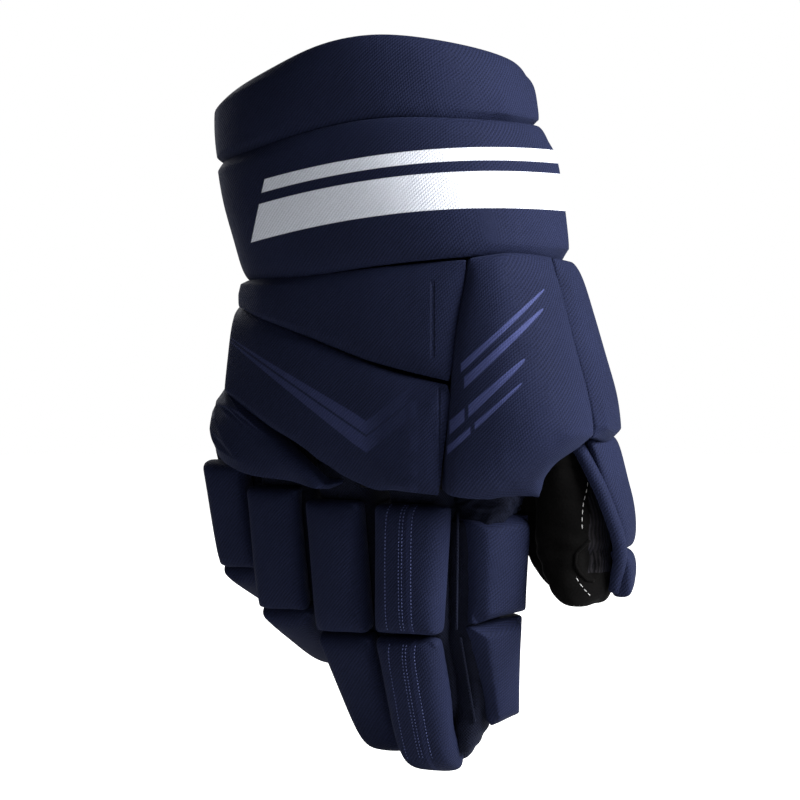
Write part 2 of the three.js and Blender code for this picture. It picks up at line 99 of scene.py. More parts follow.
# The thumb, in millimetres: heights of its root, its joint and its end, the x of its face towards
# the index finger, and the middle and half of its thickness.
THUMB_TOP, THUMB_SPLIT, THUMB_END = -177, -223.5, -246
THUMB_INSIDE, THUMB_Y, THUMB_HALF = 79, 16, 19
GUARD_FRONT, GUARD_BACK = 28, -75    # the thumb guard's edges, as angles around the thumb

# How a pad is cut and stuffed: from its foam out to its cover's face, how firmly its edges keep
# their corners, and how far the stuffing may move its cover.
HAND_PAD = (3.1 * MM, 0.65, 1.4 * MM)
SIDE_PAD = (3.6 * MM, 0.75, 1.2 * MM)
ROLL_PAD = (1.8 * MM, 0.15, 1.0 * MM)
SIDE_ROLL = (2.0 * MM, 0.4, 1.0 * MM)
CORNER_PAD = (1.8 * MM, 0.85, 0.6 * MM)
CLOTH_FRAMES = 20                    # how long the covers take to swell
STUFFING = {
    "quality": 5, "mass": 0.25, "tension_stiffness": 20, "compression_stiffness": 20,
    "shear_stiffness": 10, "bending_stiffness": 1.5, "use_pressure": True,
    "uniform_pressure_force": 4,
}
FIRM_BEND = math.radians(35)         # edges that bend more than this keep their corners
ROLL = 14 * MM                       # depth of a finger roll

# Each finger's thickness, the slope of its tip segment in degrees, and that segment's length.
FINGERS = {
    "little": (40, 66, 42.7),
    "ring": (44, 62, 52.6),
    "middle": (46, 36, 64.5),
    "index": (46, 20, 69.5),
}


# ---------- values that vary over a surface ----------
class Field:
    """A value on a surface. Arithmetic on it adds math nodes to the material's tree."""

    def __init__(self, tree, socket):
        self.tree = tree
        self.socket = socket

    def node(self, operation, *others, clamp=False):
        made = self.tree.nodes.new("ShaderNodeMath")
        made.operation = operation
        made.use_clamp = clamp
        for slot, item in enumerate((self, *others)):
            if isinstance(item, Field):
                self.tree.links.new(item.socket, made.inputs[slot])
            else:
                made.inputs[slot].default_value = item
        return Field(self.tree, made.outputs[0])

    def __add__(self, other):
        return self.node("ADD", other)

    def __sub__(self, other):
        return self.node("SUBTRACT", other)

    def __mul__(self, other):
        return self.node("MULTIPLY", other)

    def __abs__(self):
        return self.node("ABSOLUTE")

    def sine(self, period):
        return (self * (2 * math.pi / period)).node("SINE")

    def both(self, other):
        """Where two masks overlap."""
        return self.node("MINIMUM", other)

    def either(self, other):
        """Two masks together."""
        return self.node("MAXIMUM", other)

    def under(self, limit, soft=0.3):
        """1 where the value is below the limit and 0 above it, over a soft edge."""
        return (self * (-1 / soft)).node("ADD", limit * (1 / soft) + 0.5, clamp=True)

    def inverse(self):
        """1 minus the value."""
        return self.node("MULTIPLY_ADD", -1.0, 1.0)

    def over(self, limit, soft=0.3):
        return self.under(limit, soft).inverse()

    def between(self, low, high, soft=0.3):
        return self.over(low, soft).both(self.under(high, soft))


class Surface:
    """A new material: its tree, its shader, and the place on the object in millimetres."""

    def __init__(self, name, roughness, sheen=0.0, sheen_tint=(1, 1, 1), specular=0.3):
        self.material = bpy.data.materials.new(name)
        self.material.use_nodes = True
        self.tree = self.material.node_tree
        self.shader = self.tree.nodes["Principled BSDF"]
        values = {"Roughness": roughness, "Specular IOR Level": specular, "Sheen Weight": sheen,
                  "Sheen Roughness": 0.45, "Sheen Tint": (*sheen_tint, 1)}
        for socket, value in values.items():
            self.shader.inputs[socket].default_value = value
        self.place = self.tree.nodes.new("ShaderNodeTexCoord")
        place = self.place.outputs["Object"]
        self.x, self.y, self.z = (axis * (1 / MM) for axis in self.parts(place))

    def parts(self, vector):
        """The three parts of a vector socket as fields."""
        split = self.tree.nodes.new("ShaderNodeSeparateXYZ")
        self.tree.links.new(vector, split.inputs[0])
        return [Field(self.tree, output) for output in split.outputs]

    def noise(self, size, detail=2.0, seed=0.0):
        """Soft noise from 0 to 1 with patches of about size millimetres."""
        made = self.tree.nodes.new("ShaderNodeTexNoise")
        made.noise_dimensions = "4D"
        made.inputs["W"].default_value = seed
        made.inputs["Scale"].default_value = 1 / (size * MM)
        made.inputs["Detail"].default_value = detail
        self.tree.links.new(self.place.outputs["Object"], made.inputs["Vector"])
        return Field(self.tree, made.outputs[0])

    def facing(self):
        """How much the surface faces X, Y and Z: three fields with a sum of 1."""
        normal = self.parts(self.place.outputs["Normal"])
        parts = [abs(axis).node("POWER", 6) for axis in normal]
        total = parts[0] + parts[1] + parts[2]
        return [part.node("DIVIDE", total) for part in parts]

    def on_faces(self, pattern):
        """A flat pattern, a function of two coordinates, laid on the surface from three sides."""
        by_x, by_y, by_z = self.facing()
        return (pattern(self.y, self.z) * by_x + pattern(self.x, self.z) * by_y
                + pattern(self.x, self.y) * by_z)

    def mix(self, share, a, b):
        """Colour a where share is 0 and b where it is 1. Each is a colour or a socket."""
        made = self.tree.nodes.new("ShaderNodeMix")
        made.data_type = "RGBA"
        self.tree.links.new(share.socket, made.inputs["Factor"])
        for socket, colour in ((made.inputs[6], a), (made.inputs[7], b)):
            if isinstance(colour, bpy.types.NodeSocket):
                self.tree.links.new(colour, socket)
            else:
                socket.default_value = (*colour, 1)
        return made.outputs[2]

    def finish(self, colour, roughness=None, height=None, depth=0.1):
        """Sets what the shader shows. depth is the height's scale in millimetres."""
        self.tree.links.new(colour, self.shader.inputs["Base Color"])
        if roughness is not None:
            self.tree.links.new(roughness.socket, self.shader.inputs["Roughness"])
        if height is not None:
            bump = self.tree.nodes.new("ShaderNodeBump")
            bump.inputs["Distance"].default_value = depth * MM
            self.tree.links.new(height.socket, bump.inputs["Height"])
            self.tree.links.new(bump.outputs[0], self.shader.inputs["Normal"])
        return self.material


# ---------- materials ----------
NAVY = (0.0040, 0.0055, 0.0150)
NAVY_LIT = (0.0150, 0.0195, 0.0540)
TONAL = (0.050, 0.061, 0.165)
WHITE_PRINT = (0.76, 0.79, 0.87)
SUEDE_DARK = (0.0008, 0.0008, 0.0008)
SUEDE_LIGHT = (0.0042, 0.0040, 0.0040)
TWILL, BASKET, RIB = 1.3, 1.5, 1.9   # millimetres from one ridge or thread to the next


def twill(a, b):
    """Diagonal ridges that rise to the right, broken into stitches along their length."""
    ridge = (a - b).sine(TWILL * math.sqrt(2))
    stitch = (a * 0.6 + b).sine(TWILL * 1.1)
    return ridge * (stitch * 0.4 + 0.5)


def basket(a, b):
    """A plain weave: threads over and under each other."""
    return a.sine(BASKET) * b.sine(BASKET)


def ribs(a, b):
    """Knitted ribs, with a faint wave along them."""
    return a.sine(RIB) + b.sine(RIB * 3) * 0.08


def woven(name, marks=(), pressed=None, pattern=twill, dark=NAVY, light=NAVY_LIT, sheen=0.03):
    """Woven polyester. marks are (a mask of the surface, its colour) pairs: prints, and a painted
    reflection on the middle pad.

    pressed is a mask of the lines that are pressed into it.
    """
    cloth = Surface(name, 0.8, sheen=sheen, sheen_tint=(0.4, 0.5, 1.0), specular=0.07)
    thread = cloth.on_faces(pattern)
    patches = cloth.noise(38, 3) - 0.5
    fuzz = cloth.noise(0.55, 2, 5.0) - 0.5
    lightness = (thread * 0.42 + patches * 0.4 + fuzz * 0.7).node("ADD", 0.42, clamp=True)
    colour = cloth.mix(lightness, dark, light)
    rough = cloth.noise(6, 2, 2.0) * 0.14 + 0.72
    for mask, mark_colour in marks:
        covered = mask(cloth) * (thread * 0.14 + fuzz * 0.3).node("ADD", 0.86, clamp=True)
        colour = cloth.mix(covered, colour, mark_colour)
        rough = rough - mask(cloth) * 0.16
    height = thread * 0.5 + fuzz * 0.5 + (cloth.noise(9, 2, 9.0) - 0.5) * 1.4
    if pressed:
        height = height - pressed(cloth) * 2.5
    return cloth.finish(colour, rough, height, 0.3)


def suede_material():
    """Black synthetic suede with a soft, uneven nap."""
    skin = Surface("suede", 0.95, sheen=0.012, sheen_tint=(0.7, 0.7, 0.75), specular=0.02)
    nap = skin.noise(1.1, 4)
    patches = skin.noise(17, 3, 4.0)
    lightness = (nap * 0.6 + patches * 0.7).node("SUBTRACT", 0.25, clamp=True)
    colour = skin.mix(lightness, SUEDE_DARK, SUEDE_LIGHT)
    return skin.finish(colour, patches * 0.16 + 0.8, nap + patches, 0.25)


# ---------- meshes ----------
def from_node(name):
    """A CAD node's surface as quads that share their corners."""
    mesh = bmesh.new()
    mesh.from_mesh(NODES[name].data)
    bmesh.ops.remove_doubles(mesh, verts=mesh.verts, dist=1e-6)
    bmesh.ops.join_triangles(
        mesh, faces=mesh.faces, angle_face_threshold=math.radians(50),
        angle_shape_threshold=math.radians(80))
    mesh.normal_update()
    return mesh


def firm_edges(mesh, crease):
    """Keeps the bends of a bmesh from shrinking when it is subdivided."""
    layer = mesh.edges.layers.float.get("crease_edge") or mesh.edges.layers.float.new("crease_edge")
    for edge in mesh.edges:
        if edge.calc_face_angle(0) > FIRM_BEND:
            edge[layer] = crease


def stand_off(mesh, distance):
    """Moves every face of a bmesh outwards by the distance, but faces towards the hand less."""
    moves = [vert.normal * distance * min(vert.calc_shell_factor(), 1.9) for vert in mesh.verts]
    for vert, move in zip(mesh.verts, moves):
        outwards = Vector((vert.co.x, vert.co.y, 0)).normalized()
        vert.co += move * (0.25 if vert.normal.dot(outwards) < -0.75 else 1)


def add(name, data):
    """A new object in the scene."""
    made = bpy.data.objects.new(name, data)
    bpy.context.scene.collection.objects.link(made)
    return made


def new_object(name, mesh):
    """An object from a bmesh, which is used up."""
    data = bpy.data.meshes.new(name)
    mesh.to_mesh(data)
    mesh.free()
    return add(name, data)


def modify(obj, kind, **settings):
    """Adds a modifier with these settings."""
    modifier = obj.modifiers.new(kind.title(), kind)
    for key, value in settings.items():
        setattr(modifier, key, value)
    return modifier


def final_mesh(obj):
    """The mesh that an object's curve or modifiers make."""
    bpy.context.view_layer.update()
    graph = bpy.context.evaluated_depsgraph_get()
    return bpy.data.meshes.new_from_object(obj.evaluated_get(graph))


def settle(obj):
    """Applies all of an object's modifiers."""
    data = final_mesh(obj)
    obj.modifiers.clear()
    obj.data = data
    return obj


def subdivide(obj, levels):
    """Splits and smooths an object's faces this many times."""
    modify(obj, "SUBSURF", levels=levels, render_levels=levels)
    settle(obj)
    obj.data.shade_smooth()
    return obj


def points_of(obj):
    """An object's points as rows of an array."""
    flat = np.empty(len(obj.data.vertices) * 3, np.float32)
    obj.data.vertices.foreach_get("co", flat)
    return flat.reshape(-1, 3).astype(float)


def set_points(obj, points):
    """Moves an object's points to the rows of an array."""
    obj.data.vertices.foreach_set("co", points.astype(np.float32).ravel())
    obj.data.update()


def dress(obj, material, body):
    """Gives a piece its material and its body, and shades it smooth."""
    obj.data.materials.clear()
    obj.data.materials.append(material)
    obj.data.shade_smooth()
    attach(obj, body)
    return obj


# ---------- padded covers ----------
def smooth(value, low, high):
    """0 below low and 1 above high, with a smooth step between."""
    t = min(max((value - low) / (high - low), 0), 1)
    return t * t * (3 - 2 * t)


def ramp(value, places, results):
    """The result at a value, in straight steps between the results at the places."""
    return float(np.interp(value, places, results))


def across_and_height(point):
    """A point's distance across the back of the hand and its height, in millimetres."""
    return point.dot(RIGHT) / MM, point.z / MM


def shift(right, up=0):
    """A move across the back of the hand and upwards, from millimetres."""
    return (RIGHT * right + UP * up) * MM


def at_seam(z):
    """How far the seam between the pads and the side panel leans over at a height."""
    heights, moves = (-197, -174, -164, -145, -102, -85), (-3.3, 0.5, 1.9, 4.8, 7.1, 7.6)
    return ramp(z, heights, moves)


def side_panel_edges(point):
    """The panel's seam, and the arch of its lower corner over the root of the thumb."""
    across, z = across_and_height(point)
    heights, moves = (-204, -200, -193, -188, -181, -175, -169), (7.5, 7.5, 2, -2, -3.5, -1, 0)
    arch = ramp(z, heights, moves) * smooth(across, 34, 66)
    rise = ramp(across, (26, 33, 41, 56, 67, 73), (7, 5.5, 4.3, 4, 1.7, 0.5))
    return shift(arch + at_seam(z) * (1 - smooth(across, 34, 62)), rise * smooth(-z, 183, 204))


def upper_pad_edges(point):
    """The upper pad's seam, and its shorter, higher left end."""
    across, z = across_and_height(point)
    left = 1 - smooth(across, -66, -8)
    lower = 1 - smooth(z, -112, -100)
    shorter = 1 - smooth(across, -84, -56)
    return shift(at_seam(z) * smooth(across, -10, 26) + 4 * shorter, 4.4 * left * lower)


def middle_pad_edges(point):
    """The middle pad's seam, and its edges along the two gutters."""
    across, z = across_and_height(point)
    places = (-74, -53, -32, -21, -10, -2, 6)
    edge = ramp(across, places, (-150, -158.5, -172, -184, -196, -199, -202))
    drop = ramp(across, places, (0, -6.2, -8.6, -6.2, 0, 1.8, 4.3))
    raised = 4.4 * (1 - smooth(across, -66, -8)) * smooth(z, -136, -118)
    drop *= 1 - smooth(z - edge, 1, 24)
    return shift(at_seam(z) * smooth(across, -10, 26), drop + raised)


def lower_pad_edges(point):
    """Draws the lower pad from its cut edges to its outline, narrow at its end under the gutter."""
    across, z = across_and_height(point)
    top = ramp(across, (-80, -60, -43.6, -26, -18), (-149, -157.8, -165.3, -178.6, -184))
    bottom = ramp(across, (-82, -60, -43.6, -18), (-181, -186.4, -190.7, -192.9))
    share = min(max((top - z) / (top - bottom), -0.15), 1.15)
    end = -12 * smooth(share, 0, 1) * smooth(across, -46, -15)
    new_top = ramp(across + end, (-76, -72, -27), (-149, -152.6, -191.5))
    new_bottom = ramp(across + end, (-82.5, -64.4, -28), (-184.5, -189.5, -197))
    drop = new_top + (new_bottom - new_top) * share - z
    return shift(end, drop) - BACK * (1.2 * MM)


def over_root(point):
    """Draws the side guard's lower edge up to the thumb's root."""
    return shift(0, 0.8 * smooth(-point.z / MM, 150, 172))


def around_thumb(point):
    """Turns the thumb guard's front edge outwards, most at the tip, and lifts its top."""
    centre = Vector((THUMB_INSIDE + 16, THUMB_Y, 0)) * MM
    arm = Vector((point.x - centre.x, point.y - centre.y, 0))
    angle = math.degrees(math.atan2(-arm.y, arm.x))
    front = ramp(point.z / MM, (-245, -223, -200, -178), (-8, 6, 19, 27))
    share = (angle - GUARD_BACK) / (GUARD_FRONT - GUARD_BACK)
    turn = math.radians((front - GUARD_FRONT) * min(max(share, 0), 1.2))
    swung = Vector((arm.x * math.cos(turn) + arm.y * math.sin(turn),
                    arm.y * math.cos(turn) - arm.x * math.sin(turn), 0))
    return swung - arm + shift(0, 8 * smooth(point.z / MM, -194, -175))


def around_thumb_tip(point):
    """The end of the thumb guard, which is wider and sits close up to the rest."""
    z = point.z / MM
    return around_thumb(point) + shift(2.6 * smooth(-z, 222, 236), 1.6 * smooth(z, -240, -228))


# How the fingers settle once they are sewn: (height, move along X, move up) in millimetres.
SETTLED = {
    "little": ((-178, -3.9, 0), (-212, -3.9, -4.5)),
    "ring": ((-190, -4.6, 0), (-205, -5.0, 0), (-226, -5.2, -5)),
    "middle": ((-196, -4.4, 0), (-262, -3.8, 0), (-318, -1.8, -6)),
    "index": ((-199, -1.6, 0), (-262, -4.2, 0), (-325, -5, -1.5)),
}


def settled(finger):
    """The move of each point of a finger as it settles, as a function."""
    heights, sideways, upwards = zip(*reversed(SETTLED[finger]))

    def move(point):
        z = point.z / MM
        return Vector((ramp(z, heights, sideways), 0, ramp(z, heights, upwards))) * MM
    return move


def half_settled(point):
    """The move of a piece beside the index finger, which settles less."""
    return settled("index")(point) * 0.6


def side_roll_knuckle(point):
    """The side roll stands up at its top, and is wide there."""
    x, z = point.x / MM, point.z / MM
    wide = 5 * smooth(x, 60, 84) * smooth(z, -262, -205) - 2.8 * (1 - smooth(x, 56, 70))
    return shift(wide, 2.4)


def side_roll_tip(point):
    """The side roll at the fingertip narrows towards its end."""
    x, z = point.x / MM, point.z / MM
    narrow = ramp(z, (-307, -262), (5.5, 2.5)) * smooth(x, 60, 84)
    wide = 3 * (1 - smooth(x, 56, 70)) * smooth(z, -300, -268)
    return shift(-narrow - wide, 2.4)


# The reach of the index finger's rolls on the thumb side, at their bottom and top.
REACH = {"index_knuckle": (1.06, 1.32), "index_tip": (1.14, 0.98)}

# Small moves of a cover towards its place on the sewn glove.
FITTING = {
    "cuff_pad": lambda point: shift(-2.8),
    "upper_pad": upper_pad_edges,
    "middle_pad": middle_pad_edges,
    "lower_pad": lower_pad_edges,
    "side_panel": side_panel_edges,
    "side_guard": over_root,
    "thumb_base": around_thumb,
    "thumb_tip": around_thumb_tip,
    "index_side_knuckle": side_roll_knuckle,
    "index_side_tip": side_roll_tip,
}
for _finger in FINGERS:
    for _part in ("knuckle", "tip"):
        FITTING[f"{_finger}_{_part}"] = settled(_finger)


def fit(piece, move):
    """Moves every point of a piece by move(point)."""
    for vert in piece.data.vertices:
        vert.co += move(vert.co)
    piece.data.update()


def round_sides(mesh, narrow):
    """Draws a finger roll in at its sides, so that they roll off softly into the next crevice.

    narrow is the reach of its thumb side at its bottom and top, as shares of its cut.
    """
    xs = [vert.co.x for vert in mesh.verts]
    zs = [vert.co.z for vert in mesh.verts]
    centre, half = (max(xs) + min(xs)) / 2, (max(xs) - min(xs)) / 2
    shoulder, side = 0.55, 0.93          # where the roll's front ends and its side starts
    for vert in mesh.verts:
        share = (vert.co.x - centre) / half
        on_shoulder = shoulder < abs(share) < side
        if share > shoulder:
            reach = ramp(vert.co.z, (min(zs), max(zs)), narrow)
            vert.co.x = centre + half * share * reach * (0.86 if on_shoulder else 1)
        elif on_shoulder:
            vert.co.x = centre + half * share * 0.93


def cut_pad(name, make):
    """A pad's cover before it is stuffed: its foam block, grown to the cover's face."""
    out, crease, _ = make
    mesh = from_node(f"{name}_foam")
    stand_off(mesh, out)
    if make is ROLL_PAD and not name.startswith("thumb"):
        round_sides(mesh, REACH.get(name, (0.82, 0.82)))
    firm_edges(mesh, crease)
    pad = subdivide(new_object(f"{name}_stuffed", mesh), 2)
    if name in FITTING:
        fit(pad, FITTING[name])
    return pad


def stuff(pads, swells):
    """Inflates the covers with cloth simulation, and keeps each within its swell of its cut."""
    scene = bpy.context.scene
    cut = {pad.name: points_of(pad) for pad in pads}
    for pad in pads:
        cloth = modify(pad, "CLOTH")
        for key, value in STUFFING.items():
            setattr(cloth.settings, key, value)
        cloth.settings.effector_weights.gravity = 0
        cloth.collision_settings.use_collision = False
        cloth.point_cache.frame_end = CLOTH_FRAMES
    for step in range(1, CLOTH_FRAMES + 1):
        scene.frame_set(step)
    for pad, swell in zip(pads, swells):
        settle(pad)
        before = cut[pad.name]
        move = points_of(pad) - before
        length = np.linalg.norm(move, axis=1, keepdims=True)
        set_points(pad, before + move * np.minimum(1, swell / np.maximum(length, 1e-9)))
    scene.frame_set(1)


def make_pads():
    """Every padded piece: its name, body, material, cut, and the hard parts inside it."""
    plain = woven("navy_weave")
    striped = woven("band_weave", [(band_stripes, WHITE_PRINT)])
    creased = woven("upper_weave", pressed=pressed_line(21.4, 23.0, -132, -97))
    # The middle pad's pale streak near the thumb side is a painted reflection, in the tonal colour.
    pointed = woven("middle_weave", [(chevron, TONAL), (painted_reflection_streak, TONAL)],
                    pressed_line(24.5, 25.6, -196, -146))
    stroked = woven("panel_weave", [(strokes, TONAL)])
    lined = woven("index_weave", [(roll_stripes, TONAL)])
    rows = [
        ("cuff_pad", "cuff", plain, HAND_PAD, ()),
        ("wrist_band", "cuff", striped, HAND_PAD, ()),
        ("upper_pad", "hand", creased, HAND_PAD, ("upper_pad_insert",)),
        ("middle_pad", "hand", pointed, HAND_PAD, ("middle_pad_insert",)),
        ("lower_pad", "hand", plain, CORNER_PAD, ()),
        ("side_panel", "hand", stroked, SIDE_PAD, ()),
        ("side_guard", "hand", plain, SIDE_PAD, ()),
        ("thumb_base", "thumb_base", plain, ROLL_PAD, ("thumb_splint",)),
        ("thumb_tip", "thumb_tip", plain, ROLL_PAD, ()),
    ]
    for finger in FINGERS:
        for part in ("knuckle", "tip"):
            name = f"{finger}_{part}"
            rows.append((name, name, lined if finger == "index" else plain, ROLL_PAD, ()))
    for part in ("knuckle", "tip"):
        rows.append((f"index_side_{part}", f"index_{part}", plain, SIDE_ROLL, ()))
    pads = [cut_pad(name, make) for name, _, _, make, _ in rows]
    stuff(pads, [make[2] for _, _, _, make, _ in rows])
    for pad, (name, body, material, _, inside) in zip(pads, rows):
        subdivide(pad, 1)
        dress(pad, material, body)
        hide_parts(f"{name}_cover", f"{name}_foam", *inside)


# ---------- prints ----------
def across_view(cloth):
    """The distance across the back of the hand, as its prints are laid out."""
    return cloth.x * math.cos(VIEW_AZIMUTH) + cloth.y * math.sin(VIEW_AZIMUTH)


def band_stripes(cloth):
    """Two plain stripes along the wrist band, with slanted ends."""
    u = across_view(cloth)
    v = cloth.z - u * 0.13 + (u * u) * 0.0013
    long_enough = (u - v * 0.25).over(-47)
    return v.between(-66, -49).either(v.between(-44, -38)).both(long_enough)


def chevron(cloth):
    """Two lines that meet in a wide V and grow wider towards it, on its left arm."""
    u = across_view(cloth) + 8.6
    on_left = u.under(2, 9)
    steep = u.over(0, 0.1) * 0.155 + 0.655
    v = cloth.z + 169 - abs(u) * steep
    width = (u * (1 / 62)).node("ADD", 1.1, clamp=True)
    upper = v.between(0.6, width * 6 + 0.8, 0.5)
    lower = (v * -1).between(0.6, width * 6.8 + 1.0, 0.5)
    short_enough = u.under(20, 4)
    return upper.either(lower).both(short_enough) * (on_left * 0.32 + 0.08)


def painted_reflection_streak(cloth):
    """A pale streak near the thumb side of the middle pad, broken up by noise: a painted reflection off
    a glossy edge there.
    """
    u = across_view(cloth)
    place = u.between(12.5, 14.5, 2.5).both(cloth.z.between(-194, -153, 3))
    broken_up = (cloth.noise(9, 4, 31.0) * 3).node("SUBTRACT", 1.35, clamp=True)
    return place.both(broken_up) * 0.2


def pressed_line(left, right, low, high):
    """A mask of a line pressed into a pad along its edge at the side panel."""
    return lambda cloth: across_view(cloth).between(left, right, 0.7).both(
        cloth.z.between(low, high, 2))


def strokes(cloth):
    """Four parallel strokes that rise to the right and narrow to a point."""
    u = across_view(cloth)
    rise = math.radians(43)
    along = (u - 32) * math.cos(rise) + (cloth.z + 147) * math.sin(rise)
    off = (cloth.z + 147) * math.cos(rise) - (u - 32) * math.sin(rise)
    # (distance off the first line, left end, start and end along it, width, gap across)
    rows = [(5.6, 35.2, (10, 62.5), 3.0, None), (-0.4, 36.7, (5, 56), 3.9, None),
            (-11.2, 30, (-12.5, 34), 4.6, (36.8, 38.6)), (-18.2, 29, (-21.5, 25.5), 2.8, (39.5, 41.5))]
    total = None
    for line, left, (start, end), width, gap in rows:
        narrowing = (along * (-1 / (end - start)) + end / (end - start)).node("POWER", 0.35)
        mark = abs(off - line).under(narrowing * (width / 2), 0.4).both(along.under(end, 0.5))
        mark = mark.both(u.over(left, 0.5))
        if gap:
            mark = mark.both(u.between(*gap, 0.5).inverse())
        total = mark if total is None else total.either(mark)
    return total * 0.85


def roll_stripes(cloth):
    """A fine band between lines of stitches down the middle of the index finger."""
    along = cloth.x + (cloth.z + 199) * -0.03
    return along.between(34.4, 36.6) * 0.14


# ---------- stage ----------
def stand(name, data, target, way, distance):
    """Puts a camera or a light away from its target, facing it."""
    made = add(name, data)
    made.location = target + way * distance
    made.rotation_mode = "QUATERNION"
    made.rotation_quaternion = (-way).to_track_quat("-Z", "Y")
    return made


def make_camera():
    """The camera of the photo, at a distance and a little above the glove."""
    back = Vector((math.sin(VIEW_AZIMUTH) * math.cos(VIEW_ELEVATION),
                   -math.cos(VIEW_AZIMUTH) * math.cos(VIEW_ELEVATION), math.sin(VIEW_ELEVATION)))
    data = bpy.data.cameras.new("camera")
    data.sensor_width = 36
    data.lens = 189
    data.clip_start = 0.05
    data.clip_end = 30
    target = Vector((10.2, -3.4, -154.5)) * MM
    bpy.context.scene.camera = stand("camera", data, target, back, 2.0)


def area_light(name, towards, distance, size, power):
    """A soft square light. towards is (right, forward, up) of the glove, seen from the camera."""
    way = (RIGHT * towards[0] + BACK * towards[1] + UP * towards[2]).normalized()
    data = bpy.data.lights.new(name, "AREA")
    data.size = size
    data.energy = power
    stand(name, data, Vector((10, 0, -160)) * MM, way, distance)


def make_lights():
    """A strong light at the thumb side, weaker ones in front and behind, a white backdrop."""
    area_light("key", (1.0, 0.55, 0.62), distance=1.15, size=0.6, power=39)
    area_light("front", (-0.1, 1.0, 0.6), distance=1.5, size=0.9, power=1.4)
    area_light("back", (-0.45, -1.0, 0.45), distance=1.4, size=0.9, power=13)
    world = bpy.data.worlds.new("studio")
    bpy.context.scene.world = world
    world.use_nodes = True
    tree = world.node_tree
    seen = tree.nodes["Background"]
    seen.inputs["Color"].default_value = (1, 1, 1, 1)
    lit = tree.nodes.new("ShaderNodeBackground")
    lit.inputs["Color"].default_value = (0.9, 0.94, 1, 1)
    lit.inputs["Strength"].default_value = 0.07
    path = tree.nodes.new("ShaderNodeLightPath")
    either = tree.nodes.new("ShaderNodeMixShader")
    tree.links.new(path.outputs["Is Camera Ray"], either.inputs[0])
    tree.links.new(lit.outputs[0], either.inputs[1])
    tree.links.new(seen.outputs[0], either.inputs[2])
    tree.links.new(either.outputs[0], tree.nodes["World Output"].inputs[0])
    bpy.context.scene.view_settings.view_transform = "Standard"


def make_floor():
    """Paper under the fingertips, which the camera sees as plain white."""
    mesh = bmesh.new()
    bmesh.ops.create_circle(mesh, cap_ends=True, segments=96, radius=2.4)
    floor = new_object("floor", mesh)
    floor.location.z = CAD_BOX[0].z - 6 * MM
    paper = Surface("paper", 0.9)
    colour = paper.mix(paper.noise(60, 2), (0.62, 0.62, 0.62), (0.66, 0.66, 0.66))
    floor.data.materials.append(paper.finish(colour))
    paper.shader.inputs["Emission Color"].default_value = (1, 1, 1, 1)
    path = paper.tree.nodes.new("ShaderNodeLightPath")
    paper.tree.links.new(path.outputs["Is Camera Ray"], paper.shader.inputs["Emission Strength"])


# ---------- walls, tubes and stitches ----------
def join(mesh, rows, sides):
    """Joins each row of points to the next with quads."""
    for upper, lower in zip(rows, rows[1:]):
        for k in range(sides):
            after = (k + 1) % len(upper)
            mesh.faces.new((upper[k], upper[after], lower[after], lower[k]))


def loft(name, rings, cap_end=False, wall=1.2 * MM):
    """A fabric tube through rings of points, open where it starts, with its wall inside."""
    mesh = bmesh.new()
    rows = [[mesh.verts.new(point) for point in ring] for ring in rings]
    join(mesh, rows, len(rings[0]))
    if cap_end:
        middle = mesh.verts.new(sum((vert.co for vert in rows[-1]), Vector()) / len(rows[-1]))
        for k, corner in enumerate(rows[-1]):
            mesh.faces.new((corner, rows[-1][(k + 1) % len(rows[-1])], middle))
    bmesh.ops.recalc_face_normals(mesh, faces=mesh.faces)
    tube = new_object(name, mesh)
    modify(tube, "SOLIDIFY", thickness=wall, offset=-1)
    return subdivide(tube, 2)


def cord(name, points, radius, closed=False):
    """A round tube along points: piping, a binding or a hem."""
    curve = bpy.data.curves.new(name, "CURVE")
    curve.dimensions = "3D"
    curve.bevel_depth = radius
    curve.bevel_resolution = 3
    curve.resolution_u = 3
    curve.use_fill_caps = True
    spline = curve.splines.new("NURBS")
    spline.points.add(len(points) - 1)
    for knot, point in zip(spline.points, points):
        knot.co = (*point, 1)
    spline.use_cyclic_u = closed
    spline.use_endpoint_u = not closed
    spline.order_u = 4
    made = add(name, curve)
    mesh = bmesh.new()
    mesh.from_mesh(final_mesh(made))
    bpy.data.objects.remove(made)
    bmesh.ops.remove_doubles(mesh, verts=mesh.verts, dist=0.01 * MM)
    return new_object(name, mesh)


def evenly(points, step):
    """Points along a polyline at equal steps."""
    points = [Vector(point) for point in points]
    lengths = np.cumsum([0] + [(b - a).length for a, b in zip(points, points[1:])])
    places = np.arange(0, lengths[-1], step)
    columns = [np.interp(places, lengths, [point[axis] for point in points]) for axis in range(3)]
    return [Vector(row) for row in zip(*columns)]


def stitches(name, lines, length, gap, radius):
    """Sewn thread: short rounded stitches along lines of points, joined into one mesh."""
    mesh = bmesh.new()
    for line in lines:
        fine = evenly(line, 0.3 * MM)
        for start in evenly(line, length + gap)[:-1]:
            rest = [point for point in fine if (point - start).length < length * 1.2]
            end = max(rest, key=lambda point: (point - start).dot(line[-1] - line[0]), default=start)
            way = end - start
            if way.length < 0.4 * length:
                continue
            side = way.cross(Vector((0.3, 0.7, 0.2))).normalized()
            over = way.cross(side).normalized()
            around = [side * math.cos(turn) + over * math.sin(turn)
                      for turn in np.linspace(0, 2 * math.pi, 6, endpoint=False)]
            rings = []
            for along, swell in ((0, 0.35), (0.2, 0.9), (0.5, 1.1), (0.8, 0.9), (1, 0.35)):
                place = start + way.normalized() * length * along
                rings.append([mesh.verts.new(place + arm * radius * swell) for arm in around])
            join(mesh, rings, 6)
            mesh.faces.new(rings[0][::-1])
            mesh.faces.new(rings[-1])
    bmesh.ops.recalc_face_normals(mesh, faces=mesh.faces)
    return new_object(name, mesh)


